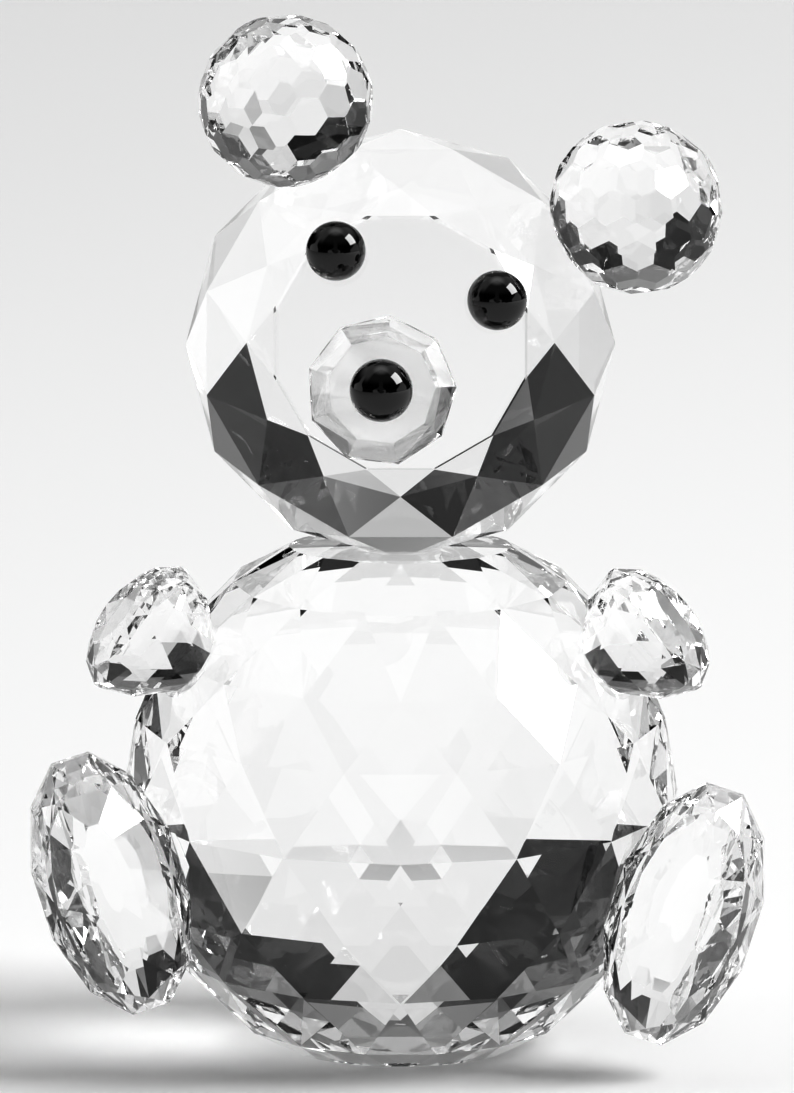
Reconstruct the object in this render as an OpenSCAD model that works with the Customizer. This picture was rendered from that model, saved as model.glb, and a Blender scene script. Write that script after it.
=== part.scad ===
// Sitting bear figurine of cut crystal: twelve cut pieces that meet on ground flats,
// joined by thin clear films of adhesive. The bear faces -Y and stands on the plane z = 0.
// Left and right are the sides as a viewer in front of the bear sees them.

/* [Body] */
// Diameter of the ball that the body is cut from
body_d = 40; // [36:0.5:44]
// Height of the body from its base to the neck's flat
body_height = 36.4; // [36:0.1:36.4]
// Facets in one ring of the body
body_facets = 15; // [14:1:16]
// Lean of the body's rings of facets towards the front
body_lean = 4; // [0:0.5:5]

/* [Head] */
// Diameter of the ball that the head is cut from
head_d = 30.6; // [28:0.2:34]
// Facets in one ring of the head
head_facets = 12; // [10:2:16]
// How far the axis of the head's facets, which the face looks along, rises from the level
head_axis_rise = 8; // [4:1:12]
// Angle from that axis to the corners of the face's flat
face_flat_angle = 37; // [36:0.5:38]
// Lean of the face towards the right
face_lean = 17; // [0:1:25]
// Shift of the eyes, snout and nose to the right, negative to the left
face_shift = -0.3; // [-0.4:0.1:0.4]

/* [Ears] */
// Diameter of the ball that an ear is cut from
ear_d = 12.2; // [10:0.2:14]
// Facets in one ring of an ear
ear_facets = 14; // [12:2:18]
// Turn of each ear from the middle of the face
ear_turn = 75; // [70:0.5:80]
// Rise of each ear above the middle of the head
ear_rise = 47.5; // [42:0.5:52]

/* [Eyes and nose] */
// Diameter of an eye
eye_d = 4.2; // [3:0.1:5]
// Distance between the middles of the eyes
eye_spread = 11.8; // [10:0.1:12]
// How far the eyes sit above the middle of the face
eye_lift = 4.8; // [4:0.1:4.9]
// Diameter of the nose
nose_d = 4.4; // [3:0.1:5]

/* [Snout] */
// Diameter of the snout at its widest
snout_d = 10.6; // [9:0.2:12]
// Diameter of the snout's front flat
snout_front_d = 7.6; // [6.5:0.1:8]
// Depth of the snout from the head to its front flat
snout_depth = 5.4; // [4:0.1:7]
// Facets around the snout
snout_facets = 9; // [8:1:12]
// How far the snout sits below the middle of the face
snout_drop = 3.6; // [3:0.1:4]

/* [Arms] */
// Length of an arm's stone
arm_length = 10.6; // [9:0.2:12]
// Width of an arm's stone
arm_width = 8; // [7:0.2:9]
// Corners around an arm's stone
arm_corners = 12; // [8:2:16]
// Turn of the left arm from the front
left_arm_turn = -67; // [-75:1:-60]
// Turn of the right arm from the front
right_arm_turn = 64; // [60:1:75]
// Rise of the arms above the middle of the body
arm_rise = 34; // [28:1:36]
// How far an arm hangs down from the level
arm_droop = 65; // [40:1:90]

/* [Legs] */
// Length of a leg's stone
leg_length = 19.4; // [17:0.2:21]
// Width of a leg's stone
leg_width = 10.6; // [9.4:0.2:11]
// Depth of a leg's stone from sole to back
leg_depth = 9; // [8:0.2:10]
// Corners around a leg's stone
leg_corners = 12; // [10:2:18]
// Turn of each leg from the front
leg_turn = 60; // [55:1:65]
// Rise of the left leg from the middle of the body
left_leg_rise = -10; // [-15:1:-5]
// Rise of the right leg from the middle of the body
right_leg_rise = -15.5; // [-18:0.5:-8]
// Lean of each sole, with its top outwards
leg_lean = 17.5; // [10:0.5:25]
// Turn of each sole towards the middle
sole_turn = 6; // [0:1:12]

/* [Adhesive] */
// Thickness of an adhesive film
film_thickness = 0.1; // [0.05:0.01:0.15]

/* [Hidden] */

crystal = [0.93, 0.95, 0.97];
jet = [0.02, 0.02, 0.02];
adhesive = [0.97, 0.97, 0.93];

// Rings of corners of the body and the head, as [part of a step turned, angle from the axis]
body_rings = [[0, 90], [0.5, 72], [0, 57], [0.5, 37], [0, 21]];
head_rings = [[0, 90], [0.5, 68], [0, 45], [0.5, face_flat_angle]];
// Rings of facets of an ear, as angles from its axis
ear_rings = [90, 68, 46, 25];

body_r = body_d / 2;
head_r = head_d / 2;
ear_r = ear_d / 2;
body_centre = body_height / 2;
// The neck's flat and the face's flat, from the middle of the head
neck_flat = 0.941 * head_r;
face_flat = head_r * cos(face_flat_angle);
head_centre = body_height + film_thickness + neck_flat;
// Ground flats, from the middle of the piece that they are ground into
ear_seat = 0.94 * head_r;
arm_seat = 0.97 * body_r;
leg_seat = 0.968 * body_r;
ear_flat = 0.88 * ear_r;
eye_flat = 0.88 * eye_d / 2;
nose_flat = 0.8 * nose_d / 2;
leg_flat = 0.43 * leg_width;
// Heights of a snout's and an arm's corners above their flats
snout_back = 1.2;
arm_girdle = 4.7;
arm_crown = 6.1;
arm_top = 6.9;
// Radii of the flats
neck_r = 3;
ear_flat_r = sqrt(ear_r * ear_r - ear_flat * ear_flat);
eye_flat_r = sqrt(eye_d * eye_d / 4 - eye_flat * eye_flat);
nose_flat_r = sqrt(nose_d * nose_d / 4 - nose_flat * nose_flat);
snout_back_r = 4.2;
arm_seat_r = 3;
leg_seat_r = 3.4;
// Larger than any piece, for the blocks that grind the flats
block = 40;

// Corners on a circle around the axis, at [radius, height], turned by a part of a step
function circle_corners(count, turn, at) =
    [for (i = [0:count - 1])
        let (angle = 360 * (i + turn) / count)
        [at[0] * cos(angle), at[0] * sin(angle), at[1]]];

// Corners and their mirror images below the middle
function both_sides(points) = concat(points, [for (p = points) [p.x, p.y, -p.z]]);

// Corners of a ball cut with rings of triangular facets
function cut_ball_corners(count, rings, radius) =
    both_sides([for (ring = rings)
        each circle_corners(count, ring[0], radius * [sin(ring[1]), cos(ring[1])])]);

// Where two flats that touch a ball meet in one upright plane, as [radius, height]
function meet(a, b, radius) =
    let (det = a[0] * b[1] - a[1] * b[0])
    radius / det * [b[1] - a[1], a[0] - b[0]];

// Corners between two rings of flat facets that touch a ball, the lower ring turned by a part
function facet_corners(count, low, high, turn, radius) =
    let (half = cos(180 / count))
    concat(
        circle_corners(count, turn + 0.5,
            meet([sin(low) * half, cos(low)], [sin(high), cos(high)], radius)),
        circle_corners(count, turn,
            meet([sin(low), cos(low)], [sin(high) * half, cos(high)], radius)));

// Corners of a ball cut with rings of six-sided facets, closed by a flat at each pole
function honeycomb_corners(count, rings, radius) =
    let (last = len(rings) - 1,
        pole = (1 - cos(rings[last])) / (sin(rings[last]) * cos(180 / count)))
    both_sides(concat(
        [for (k = [0:last - 1])
            each facet_corners(count, rings[k], rings[k + 1], k / 2, radius)],
        circle_corners(count, last / 2 + 0.5, radius * [pole, 1])));

// Corners around an oval stone: rings as [part of a step turned, scale along, scale across, height]
function stone_corners(count, size, rings) =
    [for (ring = rings, corner = circle_corners(count, ring[0], [1, ring[3]]))
        [corner.x * ring[1] * size[0] / 2, corner.y * ring[2] * size[1] / 2, corner.z]];

// Solid cut to flat facets between its corners
module cut_solid(points) {
    hull() polyhedron(points = points, faces = [[for (i = [0:len(points) - 1]) i]]);
}

// Places a child at a distance from the middle of a ball, turned to a side and raised
module on_ball(turn, rise, distance) {
    rotate([0, 0, turn])
        rotate([90 - rise, 0, 0])
            translate([0, 0, distance])
                children();
}

// Places a child on the body
module on_body(turn, rise, distance) {
    translate([0, 0, body_centre]) on_ball(turn, rise, distance) children();
}

// Places a child on the leaning head
module on_head(turn, rise, distance) {
    translate([0, 0, head_centre])
        rotate([0, face_lean, 0])
            on_ball(turn, rise, distance)
                children();
}

// Places a child in front of the face's flat, in the leaning face's own directions
module on_face(across, up, out) {
    translate([0, 0, head_centre])
        rotate([90 - head_axis_rise, 0, 0])
            rotate([0, 0, -face_lean])
                translate([face_shift + across, up, face_flat + out])
                    children();
}

// Blocks below and above the level, which grind a piece flat there
module grind_below() {
    translate([-block / 2, -block / 2, -block]) cube(block);
}

module grind_above() {
    translate([-block / 2, -block / 2, 0]) cube(block);
}

// Film of adhesive
module film(radius) {
    color(adhesive) cylinder(h = film_thickness, r = radius, $fn = 64);
}

// Spot that is ground flat where another piece is glued on
module ground_spot(radius) {
    cylinder(h = block, r = radius, $fn = 64);
}

module body() {
    color(crystal)
    difference() {
        translate([0, 0, body_centre])
            rotate([body_lean, 0, 0])
                rotate([0, 0, -90])
                    cut_solid(cut_ball_corners(body_facets, body_rings, body_r));
        grind_below();
        translate([0, 0, body_height]) grind_above();
        for (turn = [left_arm_turn, right_arm_turn])
            on_body(turn, arm_rise, arm_seat) ground_spot(arm_seat_r);
        on_body(-leg_turn, left_leg_rise, leg_seat) ground_spot(leg_seat_r);
        on_body(leg_turn, right_leg_rise, leg_seat) ground_spot(leg_seat_r);
    }
}

module head() {
    color(crystal)
    difference() {
        translate([0, 0, head_centre])
            rotate([90 - head_axis_rise, 0, 0])
                cut_solid(cut_ball_corners(head_facets, head_rings, head_r));
        translate([0, 0, head_centre - neck_flat]) grind_below();
        for (side = [-1, 1])
            on_head(side * ear_turn, ear_rise, ear_seat) ground_spot(ear_flat_r);
    }
}

module ear(side) {
    color(crystal)
    on_head(side * ear_turn, ear_rise, ear_seat + film_thickness)
    difference() {
        translate([0, 0, ear_flat])
            cut_solid(honeycomb_corners(ear_facets, ear_rings, 0.985 * ear_r));
        grind_below();
    }
}

module left_ear() {
    ear(-1);
}

module right_ear() {
    ear(1);
}

module bead(diameter, flat) {
    color(jet)
    difference() {
        translate([0, 0, flat]) sphere(d = diameter, $fn = 96);
        grind_below();
    }
}

module eye(side) {
    on_face(side * eye_spread / 2, eye_lift, film_thickness) bead(eye_d, eye_flat);
}

module left_eye() {
    eye(-1);
}

module right_eye() {
    eye(1);
}

module snout() {
    color(crystal)
    on_face(0, -snout_drop, film_thickness)
        cut_solid(concat(
            circle_corners(snout_facets, 0.5, [snout_back_r, 0]),
            circle_corners(snout_facets, 0.5, [snout_d / 2, snout_back]),
            circle_corners(snout_facets, 0.5, [snout_front_d / 2, snout_depth])));
}

module nose() {
    on_face(0, -snout_drop, snout_depth + 2 * film_thickness) bead(nose_d, nose_flat);
}

// Stone of an arm: a flat against the body, widest at the girdle, and a flat outside
module arm(turn, droop) {
    color(crystal)
    on_body(turn, arm_rise, arm_seat + film_thickness)
        rotate([0, 0, droop])
            cut_solid(stone_corners(arm_corners, [arm_length, arm_width], [
                [0.5, 0.5, 0.6, 0],
                [0, 0.86, 0.88, 2.2],
                [0.5, 1, 1, arm_girdle - 0.3],
                [0.5, 1, 1, arm_girdle + 0.2],
                [0, 0.82, 0.82, arm_crown],
                [0.5, 0.5, 0.5, arm_top]]));
}

module left_arm() {
    arm(left_arm_turn, arm_droop);
}

module right_arm() {
    arm(right_arm_turn, -arm_droop);
}

// Stone of a leg: long oval, with a flat sole that faces the front, a low point behind,
// and a flat against the body
module leg(side, rise) {
    color(crystal)
    difference() {
        on_body(side * leg_turn, rise, leg_seat + film_thickness + leg_flat)
            rotate([rise - 90, 0, 0])
                rotate([0, 0, -side * leg_turn])
                    rotate([0, side * leg_lean, 0])
                        rotate([90, 0, -side * sole_turn])
                            cut_solid(stone_corners(leg_corners, [leg_width, leg_length], [
                                [0.5, 0.28, 0.54, leg_depth / 2],
                                [0, 0.78, 0.84, leg_depth * 0.33],
                                [0.5, 1, 1, leg_depth * 0.06],
                                [0.5, 1, 1, -leg_depth * 0.06],
                                [0, 0.8, 0.86, -leg_depth * 0.3],
                                [0.5, 0.45, 0.55, -leg_depth * 0.43],
                                [0, 0.14, 0.25, -leg_depth / 2]]));
        on_body(side * leg_turn, rise, leg_seat + film_thickness) grind_below();
    }
}

module left_leg() {
    leg(-1, left_leg_rise);
}

module right_leg() {
    leg(1, right_leg_rise);
}

module neck_film() {
    translate([0, 0, body_height]) film(0.94 * neck_r);
}

module left_ear_film() {
    on_head(-ear_turn, ear_rise, ear_seat) film(0.88 * ear_flat_r);
}

module right_ear_film() {
    on_head(ear_turn, ear_rise, ear_seat) film(0.88 * ear_flat_r);
}

module left_eye_film() {
    on_face(-eye_spread / 2, eye_lift, 0) film(0.94 * eye_flat_r);
}

module right_eye_film() {
    on_face(eye_spread / 2, eye_lift, 0) film(0.94 * eye_flat_r);
}

module snout_film() {
    on_face(0, -snout_drop, 0) film(0.94 * snout_back_r);
}

module nose_film() {
    on_face(0, -snout_drop, snout_depth + film_thickness) film(0.94 * nose_flat_r);
}

module arm_film(turn) {
    on_body(turn, arm_rise, arm_seat) film(0.7 * arm_seat_r);
}

module left_arm_film() {
    arm_film(left_arm_turn);
}

module right_arm_film() {
    arm_film(right_arm_turn);
}

module left_leg_film() {
    on_body(-leg_turn, left_leg_rise, leg_seat) film(0.55 * leg_seat_r);
}

module right_leg_film() {
    on_body(leg_turn, right_leg_rise, leg_seat) film(0.55 * leg_seat_r);
}

body();
head();
left_ear();
right_ear();
left_eye();
right_eye();
snout();
nose();
left_arm();
right_arm();
left_leg();
right_leg();
neck_film();
left_ear_film();
right_ear_film();
left_eye_film();
right_eye_film();
snout_film();
nose_film();
left_arm_film();
right_arm_film();
left_leg_film();
right_leg_film();
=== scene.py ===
"""Looks of the sitting crystal bear: cut glass, black beads, clear glue, on a pale studio floor."""
import math

import bpy
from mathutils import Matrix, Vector


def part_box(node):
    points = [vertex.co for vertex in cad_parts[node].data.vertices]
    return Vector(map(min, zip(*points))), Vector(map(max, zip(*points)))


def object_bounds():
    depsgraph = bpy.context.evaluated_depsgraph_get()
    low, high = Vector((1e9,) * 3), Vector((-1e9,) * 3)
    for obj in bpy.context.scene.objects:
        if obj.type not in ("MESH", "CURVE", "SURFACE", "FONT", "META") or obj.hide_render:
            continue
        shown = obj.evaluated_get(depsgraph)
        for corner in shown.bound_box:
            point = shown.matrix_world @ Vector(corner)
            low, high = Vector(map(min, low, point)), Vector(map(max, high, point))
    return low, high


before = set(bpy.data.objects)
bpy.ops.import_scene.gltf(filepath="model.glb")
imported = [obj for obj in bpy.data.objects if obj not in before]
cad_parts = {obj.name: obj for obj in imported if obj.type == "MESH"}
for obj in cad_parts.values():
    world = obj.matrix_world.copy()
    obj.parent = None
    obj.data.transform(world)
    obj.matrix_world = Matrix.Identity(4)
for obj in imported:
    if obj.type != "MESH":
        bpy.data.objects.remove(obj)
cad_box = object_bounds()

CRYSTALS = ["body", "head", "left_ear", "right_ear", "snout",
            "left_arm", "right_arm", "left_leg", "right_leg"]
BEADS = ["left_eye", "right_eye", "nose"]
FILMS = [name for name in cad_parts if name.endswith("_film")]

# ---------------------------------------------------------------- camera
SENSOR_HEIGHT = 24.0           # millimetres
VIEW_DISTANCE = 0.8            # from the camera to the body's middle
VIEW_RISE = math.radians(10)   # the camera looks down by this much at the body's middle
# Lengths at the body's distance, in widths of the body
VIEW_HEIGHT = 1.96937          # height of the view
BODY_RIGHT = 0.0063063         # how far right of the view's middle the body's middle is
BODY_BELOW = 0.44955           # how far below the view's middle it is


def add_camera():
    low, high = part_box("body")
    middle = Vector((0, 0, (low.z + high.z) / 2))
    width = high.x - low.x
    forward = Vector((0, math.cos(VIEW_RISE), -math.sin(VIEW_RISE)))
    upward = Vector((0, math.sin(VIEW_RISE), math.cos(VIEW_RISE)))
    rightward = Vector((1, 0, 0))
    data = bpy.data.cameras.new("camera")
    data.sensor_fit = "VERTICAL"
    data.sensor_height = SENSOR_HEIGHT
    data.lens = SENSOR_HEIGHT * VIEW_DISTANCE / (VIEW_HEIGHT * width)
    data.clip_start = 0.01
    camera = bpy.data.objects.new("camera", data)
    bpy.context.scene.collection.objects.link(camera)
    camera.location = middle - forward * VIEW_DISTANCE
    aim = middle + (upward * BODY_BELOW - rightward * BODY_RIGHT) * width
    camera.rotation_euler = (aim - camera.location).to_track_quat("-Z", "Y").to_euler()
    bpy.context.scene.camera = camera


# ---------------------------------------------------------------- shader nodes
class Graph:
    """Adds nodes to a tree and wires them; a value may be a number or another node's output."""

    def __init__(self, tree):
        self.nodes = tree.nodes
        self.links = tree.links

    def wire(self, value, socket):
        if isinstance(value, bpy.types.NodeSocket):
            self.links.new(value, socket)
        else:
            socket.default_value = value

    def math(self, operation, *values):
        node = self.nodes.new("ShaderNodeMath")
        node.operation = operation
        for value, socket in zip(values, node.inputs):
            self.wire(value, socket)
        return node.outputs[0]

    def product(self, *values):
        total = values[0]
        for value in values[1:]:
            total = self.math("MULTIPLY", total, value)
        return total

    def ramp(self, value, start, end, low=0.0, high=1.0):
        """Goes smoothly from low to high as the value goes from start to end."""
        node = self.nodes.new("ShaderNodeMapRange")
        node.interpolation_type = "SMOOTHSTEP"
        for given, name in ((value, "Value"), (start, "From Min"), (end, "From Max"),
                            (low, "To Min"), (high, "To Max")):
            self.wire(given, node.inputs[name])
        return node.outputs["Result"]

    def patch(self, value, middle, half, edge):
        """1 within half of the middle, and 0 from an edge further out."""
        away = self.math("ABSOLUTE", self.math("SUBTRACT", value, middle))
        return self.ramp(away, half, half + edge, 1.0, 0.0)

    def noise(self, vector, scale, detail=2.0):
        node = self.nodes.new("ShaderNodeTexNoise")
        self.wire(vector, node.inputs["Vector"])
        node.inputs["Scale"].default_value = scale
        node.inputs["Detail"].default_value = detail
        return node.outputs["Fac"]

    def bump(self, height, strength, distance):
        node = self.nodes.new("ShaderNodeBump")
        self.wire(height, node.inputs["Height"])
        node.inputs["Strength"].default_value = strength
        node.inputs["Distance"].default_value = distance
        return node.outputs["Normal"]


# ---------------------------------------------------------------- materials
CLEAR = (1, 1, 1, 1)
# Cut crystal: its refractive index, faint haze in patches, and slow waves left by polishing
CRYSTAL_IOR = 1.545
CRYSTAL_HAZE = 0.035
CRYSTAL_HAZE_SCALE = 260.0
WAVE_SCALE = 90.0
WAVE_STRENGTH = 0.15
WAVE_HEIGHT = 0.00005
# Black glass beads, with a fine haze that varies over them
BEAD_COLOUR = (0.0005, 0.0005, 0.0005, 1)
BEAD_IOR = 1.6
BEAD_HAZE = (0.015, 0.06)
BEAD_HAZE_SCALE = 700.0
# Clear adhesive, simplified to a film that doesn't bend the light, with a trace of flow in it
FILM_IOR = 1.0
FILM_HAZE = 0.02
FILM_FLOW_SCALE = 900.0


def new_material(name):
    material = bpy.data.materials.new(name)
    material.use_nodes = True
    nodes = material.node_tree.nodes
    nodes.clear()
    output = nodes.new("ShaderNodeOutputMaterial")
    shader = nodes.new("ShaderNodeBsdfPrincipled")
    material.node_tree.links.new(shader.outputs["BSDF"], output.inputs["Surface"])
    return material, Graph(material.node_tree), shader


def object_place(graph):
    return graph.nodes.new("ShaderNodeTexCoord").outputs["Object"]


def crystal_material():
    material, graph, shader = new_material("cut_crystal")
    place = object_place(graph)
    shader.inputs["Base Color"].default_value = CLEAR
    shader.inputs["Transmission Weight"].default_value = 1
    shader.inputs["IOR"].default_value = CRYSTAL_IOR
    haze = graph.ramp(graph.noise(place, CRYSTAL_HAZE_SCALE, 4.0), 0.56, 0.74, 0.0, CRYSTAL_HAZE)
    graph.wire(haze, shader.inputs["Roughness"])
    waves = graph.noise(place, WAVE_SCALE, 1.0)
    graph.wire(graph.bump(waves, WAVE_STRENGTH, WAVE_HEIGHT), shader.inputs["Normal"])
    return material


def jet_material():
    material, graph, shader = new_material("black_glass")
    place = object_place(graph)
    shader.inputs["Base Color"].default_value = BEAD_COLOUR
    shader.inputs["IOR"].default_value = BEAD_IOR
    haze = graph.ramp(graph.noise(place, BEAD_HAZE_SCALE, 4.0), 0.5, 0.75, *BEAD_HAZE)
    graph.wire(haze, shader.inputs["Roughness"])
    return material


def film_material():
    material, graph, shader = new_material("clear_glue")
    shader.inputs["Base Color"].default_value = CLEAR
    shader.inputs["Transmission Weight"].default_value = 1
    shader.inputs["IOR"].default_value = FILM_IOR
    flow = graph.noise(object_place(graph), FILM_FLOW_SCALE)
    graph.wire(graph.ramp(flow, 0.4, 0.7, 0.0, FILM_HAZE), shader.inputs["Roughness"])
    return material


def paint(names, material):
    for name in names:
        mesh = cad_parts[name].data
        mesh.materials.clear()
        mesh.materials.append(material)


# ---------------------------------------------------------------- studio
# The floor runs out to this far on each side; it is pale, with painted shade that makes it a little
# darker far away, standing in for the light falling off
FLOOR_SIZE = 3.0
NEAR_TONE = 0.82
FAR_PAINTED_SHADE_TONE = 0.76
PAINTED_SHADE_RANGE = (0.03, 0.6)
FLOOR_ROUGHNESS = 0.7
FLOOR_SPECULAR = 0.1
# The softbox: its turn from straight behind the object to the right, and its rise, in degrees
BOX_TURN = 100
BOX_RISE = 39
BOX_AWAY = 2.5
BOX_SIZE = 1.4
BOX_RADIANCE = 12.0
# The room has four bright sides with dark parts between them. All its angles are in degrees.
# Half the width of a bright side at the level and high up, and the rises where it narrows
LOW_WIDTH = 22
HIGH_WIDTH = 6
NARROWS = (5, 22)
# Turn of the bright sides' middles at the level and high up
LOW_SHIFT = 7
HIGH_SHIFT = 1
HALF_QUARTER = 45
SOFT_EDGE = 4
# The rises where the dark parts end
DARK_TOP = (22, 50)
# How dark they are: middle, half width and edge of the darkest one, then the others
DARKEST_TURN = (-34, 18, 12)
DARKEST = 0.99
DARK_ELSEWHERE = 0.96
# A dim part high up behind the object: middle, half width and edge of its turn and of its rise
DIM_TURN = (0, 26, 8)
DIM_RISE = (50, 11, 6)
DIM = 0.6
# Light of the room at the level and half way up, and the rises between which it changes
LEVEL_LIGHT = 0.85
MIDDLE_LIGHT = 0.72
LEVEL_TO_MIDDLE = (4, 30)
# The part of it left in front of the object, and the turns and rises where that begins
FRONT_LIGHT = 0.25
FRONT_TURN = (105, 130)
FRONT_RISE = (6, 14)
# Light added overhead, and the rises where it begins
TOP_LIGHT = 1.4
OVERHEAD = (62, 85)
# How the picture is shown
EXPOSURE = 0.06
GAMMA = 0.72
MOST_BOUNCES = 32
GLASS_BOUNCES = 24
MIRROR_BOUNCES = 16


def direction_angles(graph):
    """Turn from +Y towards +X and rise above the level, in degrees, of a direction in the room."""
    split = graph.nodes.new("ShaderNodeSeparateXYZ")
    graph.wire(graph.nodes.new("ShaderNodeTexCoord").outputs["Generated"], split.inputs[0])
    turn = graph.math("DEGREES", graph.math("ARCTAN2", split.outputs["X"], split.outputs["Y"]))
    rise = graph.math("DEGREES", graph.math("ARCSINE", split.outputs["Z"]))
    return turn, rise


def darkness(graph, turn, rise):
    """How dark the room is in a direction, from 0 to 1."""
    half = graph.ramp(rise, *NARROWS, LOW_WIDTH, HIGH_WIDTH)
    shift = graph.ramp(rise, *NARROWS, LOW_SHIFT, HIGH_SHIFT)
    folded = graph.math("PINGPONG", graph.math("SUBTRACT", turn, shift), HALF_QUARTER)
    between = graph.ramp(graph.math("SUBTRACT", folded, half), 0, SOFT_EDGE)
    darkest = graph.patch(turn, *DARKEST_TURN)
    depth = graph.ramp(darkest, 0, 1, DARK_ELSEWHERE, DARKEST)
    return graph.product(between, depth)


def add_world():
    world = bpy.data.worlds.new("studio")
    bpy.context.scene.world = world
    world.use_nodes = True
    graph = Graph(world.node_tree)
    turn, rise = direction_angles(graph)
    light = graph.ramp(rise, *LEVEL_TO_MIDDLE, LEVEL_LIGHT, MIDDLE_LIGHT)
    aside = graph.math("ABSOLUTE", turn)
    front = graph.product(graph.ramp(aside, *FRONT_TURN), graph.ramp(rise, *FRONT_RISE))
    light = graph.product(light, graph.ramp(front, 0, 1, 1.0, FRONT_LIGHT))
    light = graph.math("ADD", light, graph.ramp(rise, *OVERHEAD, 0.0, TOP_LIGHT))
    low = graph.product(darkness(graph, turn, rise), graph.ramp(rise, *DARK_TOP, 1.0, 0.0))
    high = graph.product(graph.patch(turn, *DIM_TURN), graph.patch(rise, *DIM_RISE), DIM)
    for shade in (low, high):
        light = graph.product(light, graph.math("SUBTRACT", 1.0, shade))
    background = world.node_tree.nodes["Background"]
    background.inputs["Color"].default_value = CLEAR
    graph.wire(light, background.inputs["Strength"])


def add_softbox():
    data = bpy.data.lights.new("softbox", "AREA")
    data.shape = "SQUARE"
    data.size = BOX_SIZE
    data.energy = BOX_RADIANCE * math.pi * BOX_SIZE ** 2
    box = bpy.data.objects.new("softbox", data)
    bpy.context.scene.collection.objects.link(box)
    turn, rise = math.radians(BOX_TURN), math.radians(BOX_RISE)
    away = Vector((math.sin(turn) * math.cos(rise), math.cos(turn) * math.cos(rise), math.sin(rise)))
    low, high = cad_box
    box.location = Vector((0, 0, (low[2] + high[2]) / 2)) + away * BOX_AWAY
    box.rotation_euler = away.to_track_quat("Z", "Y").to_euler()


def add_floor():
    mesh = bpy.data.meshes.new("floor")
    corners = [(x * FLOOR_SIZE, y * FLOOR_SIZE, 0) for x, y in ((-1, -1), (1, -1), (1, 1), (-1, 1))]
    mesh.from_pydata(corners, [], [(0, 1, 2, 3)])
    floor = bpy.data.objects.new("floor", mesh)
    bpy.context.scene.collection.objects.link(floor)
    material, graph, shader = new_material("pale_floor")
    place = graph.nodes.new("ShaderNodeNewGeometry").outputs["Position"]
    distance = graph.nodes.new("ShaderNodeVectorMath")
    distance.operation = "LENGTH"
    graph.wire(place, distance.inputs[0])
    # Painted shade: the floor's colour goes from the near tone to the darker far tone with distance
    # from the middle, standing in for the light falling off
    tone_with_painted_shade = graph.ramp(distance.outputs["Value"], *PAINTED_SHADE_RANGE, NEAR_TONE, FAR_PAINTED_SHADE_TONE)
    colour = graph.nodes.new("ShaderNodeCombineColor")
    for channel in ("Red", "Green", "Blue"):
        graph.wire(tone_with_painted_shade, colour.inputs[channel])
    graph.wire(colour.outputs[0], shader.inputs["Base Color"])
    shader.inputs["Roughness"].default_value = FLOOR_ROUGHNESS
    shader.inputs["Specular IOR Level"].default_value = FLOOR_SPECULAR
    mesh.materials.append(material)


add_camera()
paint(CRYSTALS, crystal_material())
paint(BEADS, jet_material())
paint(FILMS, film_material())
add_floor()
add_world()
add_softbox()
scene = bpy.context.scene
scene.view_settings.view_transform = "Standard"
scene.view_settings.exposure = EXPOSURE
scene.view_settings.gamma = GAMMA
scene.cycles.max_bounces = MOST_BOUNCES
scene.cycles.transmission_bounces = GLASS_BOUNCES
scene.cycles.glossy_bounces = MIRROR_BOUNCES
